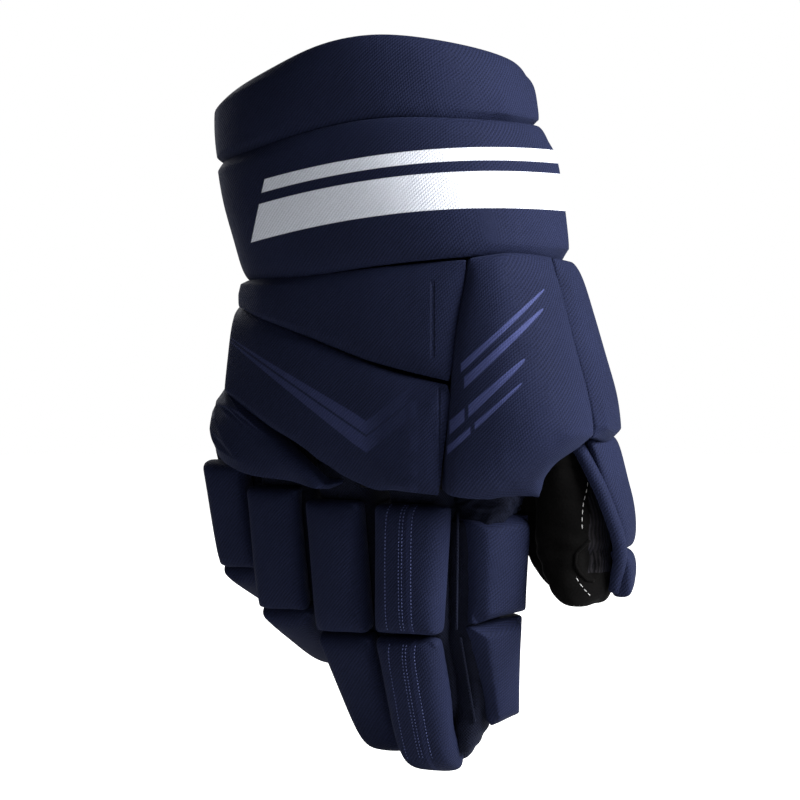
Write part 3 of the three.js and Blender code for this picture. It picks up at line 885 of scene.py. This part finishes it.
def on_surface(obj, origins, direction, lift):
    """Where rays from the origins, clear of an object, meet it, lifted off it.

    Rays that miss are left out.
    """
    tree = BVHTree.FromPolygons(
        [vert.co for vert in obj.data.vertices], [face.vertices for face in obj.data.polygons])
    found = []
    for origin in origins:
        point, normal, _, _ = tree.ray_cast(origin, direction)
        if point is not None:
            found.append(point + normal * lift)
    return found


def laid_out(obj, route, lift, step):
    """A route of (distance across the back, height) points in millimetres, laid on an object."""
    flat = evenly([shift(u, z) for u, z in route], step)
    return on_surface(obj, [point + BACK * 0.4 for point in flat], -BACK, lift)


# ---------- fingers ----------
class Segment:
    """A finger segment: s runs down it from its hinge, h stands over its palm face."""

    def __init__(self, hinge, slope, start, end):
        self.hinge = hinge
        self.slope = slope
        self.start = start
        self.end = end

    def place(self, x, s, h):
        """The point at x, s and h, in metres."""
        down, across = math.cos(self.slope), math.sin(self.slope)
        return Vector((x, self.hinge.y + s * across - h * down, self.hinge.z - s * down - h * across))

    def at(self, share, x, h):
        """The point at x and h, at a share of the way along the segment."""
        start, end = self.start(h), self.end(h)
        return self.place(x, start + (end - start) * share, h)

    def ring(self, share, box):
        """The points of a box, (x, h) pairs, at a share of the way along the segment."""
        return [self.at(share, x, h) for x, h in box]


def segments(finger):
    """The end of the hand and the two segments of a finger, cut at the planes between them."""
    knuckle, middle = HINGES[f"{finger}_knuckle_flex"], HINGES[f"{finger}_middle_flex"]
    _, curl, reach = FINGERS[finger]
    lean = math.atan2(middle.y - knuckle.y, knuckle.z - middle.z)
    curl = math.radians(curl)
    first = (middle - knuckle).yz.length
    upper, lower = math.tan(lean / 2), math.tan((curl - lean) / 2)
    return (
        Segment(knuckle, 0, lambda h: -14 * MM, lambda h: h * upper),
        Segment(knuckle, lean, lambda h: -h * upper, lambda h: first + h * lower),
        Segment(middle, curl, lambda h: -h * lower, lambda h: reach * MM),
    )


def squarish(c, s, power):
    """The distance from its middle to a rounded square, in a direction."""
    return (abs(c) ** power + abs(s) ** power) ** (-1 / power)


def box_ring(x0, x1, h0, h1, power=4.5):
    """A rounded box around a finger, as (x, h) pairs."""
    ring = []
    for turn in np.linspace(0, 2 * math.pi, 24, endpoint=False):
        c, s = math.cos(turn), math.sin(turn)
        r = squarish(c, s, power)
        ring.append(((x0 + x1) / 2 + (x1 - x0) / 2 * r * c, (h0 + h1) / 2 + (h1 - h0) / 2 * r * s))
    return ring


def bend_at(piece):
    """Bakes a piece's placement into its points; the piece is given no body."""
    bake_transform(piece)


def two_sided(piece, back, palm, palm_side):
    """Gives a piece's palm side another material than its back and sides."""
    piece.data.materials.append(back)
    piece.data.materials.append(palm)
    for face in piece.data.polygons:
        face.material_index = 1 if face.normal.dot(palm_side) > 0.45 else 0


def finger_sleeve(finger, shell, suede):
    """The hollow sleeve behind a finger's rolls, in one piece over its middle joint."""
    _, knuckle, tip = segments(finger)
    depth, _, reach = (value * MM for value in FINGERS[finger])
    low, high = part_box(f"{finger}_knuckle_sleeve")
    full = depth - ROLL - 0.5 * MM
    rings = [knuckle.ring(share, box_ring(low.x, high.x, 0, full))
             for share in (0.04, 0.3, 0.55, 0.72, 0.82, 0.9, 0.96, 1.0)]
    for share, rise in ((0.05, 0), (0.12, 0), (0.22, 0.5), (0.36, 1.5), (0.5, 2.5)):
        rings.append(tip.ring(share, box_ring(low.x, high.x, rise * MM, full)))
    # (distance from the end, palm side, how far it stays under the back, narrower on each side)
    for left, rise, under, narrow in ((13, 7, 20, 1), (7, 9, 21.5, 2.5), (3.5, 11.5, 23.5, 5),
                                      (2, 15, 28, 9)):
        ring = box_ring(low.x + narrow * MM, high.x - narrow * MM, rise * MM, depth - under * MM,
                        power=3.5)
        rings.append([tip.place(x, reach - left * MM, h) for x, h in ring])
    sleeve = loft(f"{finger}_sleeve", rings, cap_end=True)
    fit(sleeve, settled(finger))
    palm_side = Vector((0, math.cos(tip.slope / 2), math.sin(tip.slope / 2)))
    two_sided(sleeve, shell, suede, palm_side)
    bend_at(sleeve)
    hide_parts(f"{finger}_knuckle_sleeve", f"{finger}_tip_sleeve")


def finger_gusset(finger, shell, suede):
    """The fabric between the hand and a finger's knuckle segment."""
    hand, knuckle, _ = segments(finger)
    depth = FINGERS[finger][0] * MM
    low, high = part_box(f"{finger}_knuckle_sleeve")
    x0, x1 = low.x + 0.8 * MM, high.x - 0.8 * MM
    # (share of the way along, palm side, how far it stays under the finger's back)
    above = ((0.0, -6, 7), (0.35, -5, 8.5), (0.7, -3, 10), (0.9, -1.5, 11.5), (1.0, 0, 12.5))
    below = ((0.06, 1, 13.4), (0.14, 1.5, 14.4), (0.24, 2, 15), (0.36, 2.5, 15.4))
    rings = [segment.ring(share, box_ring(x0, x1, palm * MM, depth - back * MM))
             for segment, rows in ((hand, above), (knuckle, below)) for share, palm, back in rows]
    gusset = loft(f"{finger}_gusset", rings)
    fit(gusset, settled(finger))
    two_sided(gusset, shell, suede, Vector((0, 1, 0)))
    bend_at(gusset)


def wrinkle(piece, size, height, seed):
    """Creases in loose fabric: moves points along their normals by smooth noise."""
    normals = [vert.normal.copy() for vert in piece.data.vertices]
    for vert, normal in zip(piece.data.vertices, normals):
        place = Vector((vert.co.x, vert.co.y, vert.co.z * 2.2)) / size + Vector((seed, 0, 0))
        vert.co += normal * noise.noise(place) * height
    piece.data.update()


def side_gusset(shell):
    """The fabric and piping between the index finger's front rolls and its side rolls."""
    hand, knuckle, tip = segments("index")
    inside = 44 * MM                     # under the finger's front rolls
    # (share of the way along, x of its side, height of its back)
    above = ((0.0, 74, 22), (0.4, 75, 23), (0.75, 75, 22), (1.0, 74, 21))
    below = ((0.06, 73, 21), (0.16, 69, 22), (0.3, 62, 24))
    rings = [segment.ring(share, box_ring(inside, x1 * MM, palm * MM, h1 * MM))
             for segment, palm, rows in ((hand, -3, above), (knuckle, -2, below))
             for share, x1, h1 in rows]
    upper = loft("index_side_gusset", rings)
    wrinkle(upper, 4.5 * MM, 2.2 * MM, 3.0)
    upper.data.materials.append(shell)
    bend_at(upper)

    rings = [knuckle.ring(share, box_ring(inside, 61 * MM, 0, 25 * MM))
             for share in (0.15, 0.4, 0.65, 0.8, 0.9, 0.96, 1.0)]
    for share in (0.06, 0.14, 0.24, 0.36):
        rings.append(tip.ring(share, box_ring(inside, 60 * MM, 1 * MM, 26 * MM)))
    # (distance down the tip, x of its side, palm side, back side)
    for s, x1, h0, h1 in ((34, 58.5, 4, 28), (43, 57, 8, 31), (50, 54.5, 13, 33.5),
                          (55, 52, 18, 34), (58, 49.5, 22, 32)):
        box = box_ring(42 * MM, x1 * MM, h0 * MM, h1 * MM, power=3)
        rings.append([tip.place(x, s * MM, h) for x, h in box])
    lower = loft("index_side_channel", rings, cap_end=True)
    wrinkle(lower, 9 * MM, 0.9 * MM, 11.0)
    fit(lower, half_settled)
    lower.data.materials.append(shell)
    bend_at(lower)

    for part, segment, shares in (("knuckle", knuckle, np.linspace(0.08, 0.97, 9)),
                                  ("tip", tip, np.linspace(0.04, 0.62, 10))):
        outwards = 1.5 if part == "tip" else 0
        route = [segment.at(share, (53.5 + share * outwards) * MM, (27.5 + share * 3) * MM)
                 for share in shares]
        route = [point + half_settled(point) for point in route]
        piping = cord(f"index_{part}_piping", route, 0.7 * MM)
        dress(piping, shell, f"index_{part}")


# ---------- thumb ----------
def thumb_point(angle, z, out):
    """A point around the thumb. Angle 0 is its outer side, 90 its back."""
    taper = max((THUMB_SPLIT - z) / (THUMB_SPLIT - THUMB_END), 0)
    t = (THUMB_TOP - z) / (THUMB_TOP - THUMB_END)
    inner = THUMB_INSIDE + 12 * taper
    outer = THUMB_INSIDE + 17 + 16 * math.sin(math.pi * min(max(0.08 + t * 0.75, 0), 0.72))
    s, c = math.sin(math.radians(angle)), math.cos(math.radians(angle))
    r = squarish(c, s, 4 if c < 0 else 2)
    half = (outer - inner) / 2 + (out if c > 0 else min(out, 0))
    return Vector(((inner + outer) / 2 + half * r * c, THUMB_Y - (THUMB_HALF + out) * r * s, z)) * MM


def dent(piece, centre, across, down, depth):
    """Presses a soft hollow into a piece, seen from the camera's side. Lengths in millimetres."""
    for vert in piece.data.vertices:
        du = (vert.co.dot(RIGHT) / MM - centre[0]) / across
        dz = (vert.co.z / MM - centre[1]) / down
        far = math.hypot(du, dz)
        if far < 1 and vert.co.y < THUMB_Y * MM:
            vert.co -= BACK * depth * MM * (1 - smooth(far, 0.25, 1))
    piece.data.update()


def rings_at(point_at, rows, step=10):
    """Rings around the thumb or the hand, from rows of (height, distance out)."""
    return [[point_at(angle, z, out) for angle in range(0, 360, step)] for z, out in rows]


def make_thumb(suede, knit, thread):
    """The thumb's sleeve, stitches and hem, the guard's lip, the thumb's root and the web."""
    rows = [(-174, -1), (-181, 0), (-192, 0), (-203, 0), (-213, 0), (-219, 0), (-222, 0), (-225, 0),
            (-229, 1.2), (-235, 2.0), (-240, 1.9), (-244.5, 0.8), (-247.5, -1.2), (-249.5, -4.6)]
    sleeve = loft("thumb_sleeve", rings_at(thumb_point, rows), cap_end=True)
    for material in (suede, knit):
        sleeve.data.materials.append(material)
    for face in sleeve.data.polygons:    # knit on its outer side, above the tip
        across, z = across_and_height(face.center)
        face.material_index = 1 if across > 95.5 and face.center.y < 20 * MM and z > -234 else 0
    wrinkle(sleeve, 13 * MM, 1.0 * MM, 7.0)
    dent(sleeve, (96, -229), 5.5, 9, 3.5)
    seams = {
        "base": [(95, -188), (94.7, -193), (92.5, -201), (91.9, -209), (92.3, -216.5)],
        "tip": [(89.2, -235), (91, -238), (93.3, -240.9), (95.8, -243.8), (97.4, -246)],
    }
    for part, route in seams.items():
        seam = laid_out(sleeve, route, 0.2 * MM, 0.5 * MM)
        line = stitches(f"thumb_{part}_stitches", [seam], 2.2 * MM, 1.3 * MM, 0.19 * MM)
        dress(line, thread, f"thumb_{part}")
    edge = [(95.5, -218), (92, -221), (89.4, -224), (88.8, -229), (91, -233.5), (94, -236.5),
            (98.5, -237)]
    hem = cord("thumb_hem", laid_out(sleeve, edge, 0.5 * MM, 1.2 * MM), 0.8 * MM)
    hem.data.materials.append(suede)
    for piece in (sleeve, hem):
        bend_at(piece)
    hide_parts("thumb_base_sleeve", "thumb_tip_sleeve")

    # (height, angle around the thumb, distance out)
    route = [(-167, 31, 4.5), (-172, 30, 5), (-178, 28, 6), (-186, 27, 7), (-195, 25, 8), (-204, 21, 8),
             (-213, 14, 8), (-221, 7, 8), (-228, 2, 8), (-235, -4, 7), (-241, -9, 6), (-245, -12, 4)]
    lip = [thumb_point(angle, z, out) for z, angle, out in route]
    roll = cord("thumb_lip", evenly(lip, 3 * MM), 3.4 * MM)
    roll.data.materials.append(bpy.data.materials["navy_weave"])
    bend_at(roll)

    rows = [(-158, -4), (-163, -1.5), (-168, 1), (-173, 2.2), (-178, 2), (-183, 0.4), (-187, -1.4)]
    root = loft("thumb_root", rings_at(thumb_point, rows))
    root.data.materials.append(suede)
    bend_at(root)
    make_web(suede)


def make_web(suede):
    """The suede between the palm and the thumb, with a free edge that runs to the thumb's tip."""
    # (height, x of its free edge, y)
    rows = [(-166, 62, 4), (-173, 62, 4.5), (-182, 62, 5), (-195, 62, 7), (-208, 64, 9), (-219, 68, 11),
            (-228, 71, 13), (-236, 75, 15), (-241, 80, 17), (-245, 86, 19)]
    at_thumb = 92                        # x of its edge inside the thumb
    mesh = bmesh.new()
    grid = []
    for z, edge, y in rows:
        row = []
        for share in np.linspace(0, 1, 7):
            bulge = 3 * math.sin(math.pi * share) - (at_thumb - edge) * 0.12 * share
            row.append(mesh.verts.new(Vector((edge + (at_thumb - edge) * share, y - bulge, z)) * MM))
        grid.append(row)
    join(mesh, grid[::-1], 6)
    web = new_object("thumb_web_suede", mesh)
    modify(web, "SOLIDIFY", thickness=1.6 * MM, offset=0)
    subdivide(web, 2)
    wrinkle(web, 15 * MM, 0.8 * MM, 21.0)
    web.data.materials.append(suede)
    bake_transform(web)
    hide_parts("thumb_web")


# ---------- cuff and hand ----------
# The hand inside the pads: height, centre x and y, half width, back, palm, and squareness.
HAND = ((22, -6, 0, 65, 41, 41, 2.2), (-50, 3, 0, 69, 41, 40, 2.3), (-92, 10, 1, 66, 35, 38, 2.6),
        (-140, 13, 2, 74, 33, 37, 2.9))


def hand_point(angle, z, out):
    """A point around the hand. Angle 0 is its back, 90 the thumb side, 180 the palm."""
    heights = [row[0] for row in HAND[::-1]]
    cx, cy, side, back, palm, power = (
        ramp(z, heights, [row[k] for row in HAND[::-1]]) for k in range(1, 7))
    s, c = math.sin(math.radians(angle)), math.cos(math.radians(angle))
    r = squarish(c / (back if c > 0 else palm), s / side, power) + out
    return Vector((cx + r * s, cy - r * c, z)) * MM


def cuff_top(angle):
    """The height of the cuff's lining under the top of the roll, at an angle around the hand."""
    around = (angle + 180) % 360 - 180
    if abs(around) > 128:
        return -24
    angles, tops = (-128, -80, -37, 0, 32, 65, 90, 128), (-26, -23, -5, 9, 16.5, 11, 3, -12)
    return ramp(around, angles, tops) - 4


def make_cuff(shell, knit):
    """The cuff's lining and binding, and the fabric between the cuff and the hand."""
    angles = np.arange(0, 360, 9)
    rings = []
    for share in np.linspace(0, 1, 9):
        rings.append([hand_point(a, cuff_top(a) * (1 - share) - 90 * share, -2.4) for a in angles])
    lining = loft("cuff_lining_knit", rings, wall=1.5 * MM)
    wrinkle(lining, 16 * MM, 0.7 * MM, 5.0)
    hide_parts("cuff_lining")
    dress(lining, knit, "cuff")
    rim = [hand_point(a, cuff_top(a) + 0.5, 0.2) for a in angles]
    binding = cord("cuff_binding", rim, 1.7 * MM, closed=True)
    dress(binding, shell, "cuff")
    rows = [(-76, -0.4), (-84, 0.2), (-88, 0.6), (-92, 1.0), (-96, 1.2), (-100, 1.4), (-106, 1.6),
            (-114, 1.8)]
    gusset = loft("wrist_gusset", rings_at(hand_point, rows, 9))
    wrinkle(gusset, 12 * MM, 1.2 * MM, 13.0)
    gusset.data.materials.append(shell)
    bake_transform(gusset)


def refine(node, material):
    """A fabric wall: the CAD node's surface, smoothed."""
    piece = subdivide(new_object(f"{node}_fabric", from_node(node)), 2)
    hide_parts(node)
    return dress(piece, material, NODES[node]["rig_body"])


def make_index_stitches(thread):
    """The dotted stitch lines down the index finger's rolls."""
    drift = settled("index")
    for part, top, bottom in (("knuckle", -202, -263), ("tip", -268, -326)):
        target = bpy.data.objects[f"index_{part}_stuffed"]
        lines = []
        for x in (24.8, 32.3, 34.0, 38.8):
            origins = []
            for z in np.arange(top, bottom, -1.0):
                place = Vector((x * MM, -0.3, z * MM))
                origins.append(place + Vector((drift(place).x, 0, 0)))
            lines.append(on_surface(target, origins, Vector((0, 1, 0)), 0.12 * MM))
        dotted = stitches(f"index_{part}_stitches", lines, 1.0 * MM, 0.7 * MM, 0.26 * MM)
        dress(dotted, thread, f"index_{part}")


def make_palm(suede, thread):
    """The palm, its overlay and the lines of stitches that hold them."""
    panel = refine("palm_panel", suede)
    overlay = refine("palm_overlay", suede)
    points = points_of(overlay) / MM
    routes = []
    for inset in (2.2, 4.0):
        left, right = [], []
        for z in np.linspace(-120 - inset, -192 + inset, 24):
            level = points[np.abs(points[:, 2] - z) < 3.5]
            left.append((level[:, 0].min() + inset, z))
            right.append((level[:, 0].max() - inset, z))
        routes.append((overlay, left[::-1] + right + left[-1:]))
    routes += [(panel, [(x, -104), (x, low)]) for x, low in ((-14, -190), (-32, -182), (56, -150))]
    for number, (piece, route) in enumerate(routes):
        below = evenly([Vector((x, 300, z)) * MM for x, z in route], 1.0 * MM)
        line = on_surface(piece, below, Vector((0, -1, 0)), 0.15 * MM)
        sewn = stitches(f"palm_stitches_{number}", [line], 2.0 * MM, 1.0 * MM, 0.22 * MM)
        dress(sewn, thread, "hand")


def make_fabric():
    """The fabric, suede and thread around the pads."""
    shell = woven("navy_shell", pattern=basket, dark=(0.0022, 0.0028, 0.006),
                  light=(0.008, 0.010, 0.024))
    suede = suede_material()
    knit = woven("rib_knit", pattern=ribs, dark=(0.0015, 0.0015, 0.002), light=(0.010, 0.009, 0.011))
    white_thread = woven("white_thread", dark=(0.3, 0.3, 0.3), light=(0.6, 0.6, 0.6), sheen=0.0)
    grey_thread = woven("grey_thread", dark=(0.05, 0.05, 0.055), light=(0.10, 0.10, 0.11))
    navy_thread = woven("navy_thread", dark=(0.04, 0.05, 0.12), light=(0.09, 0.11, 0.24))
    # The base under the back pads shows only in the gutters between them: its near-black knit paints
    # the shade there.
    refine("backhand_base", knit)
    refine("hand_lining", knit)
    refine("thumb_gusset", knit)
    make_palm(suede, grey_thread)
    refine("cuff_palm_panel", shell)
    make_cuff(shell, knit)
    for finger in FINGERS:
        finger_gusset(finger, shell, suede)
        finger_sleeve(finger, shell, suede)
    side_gusset(shell)
    make_thumb(suede, knit, white_thread)
    make_index_stitches(navy_thread)


make_camera()
make_lights()
make_floor()
make_pads()
make_fabric()
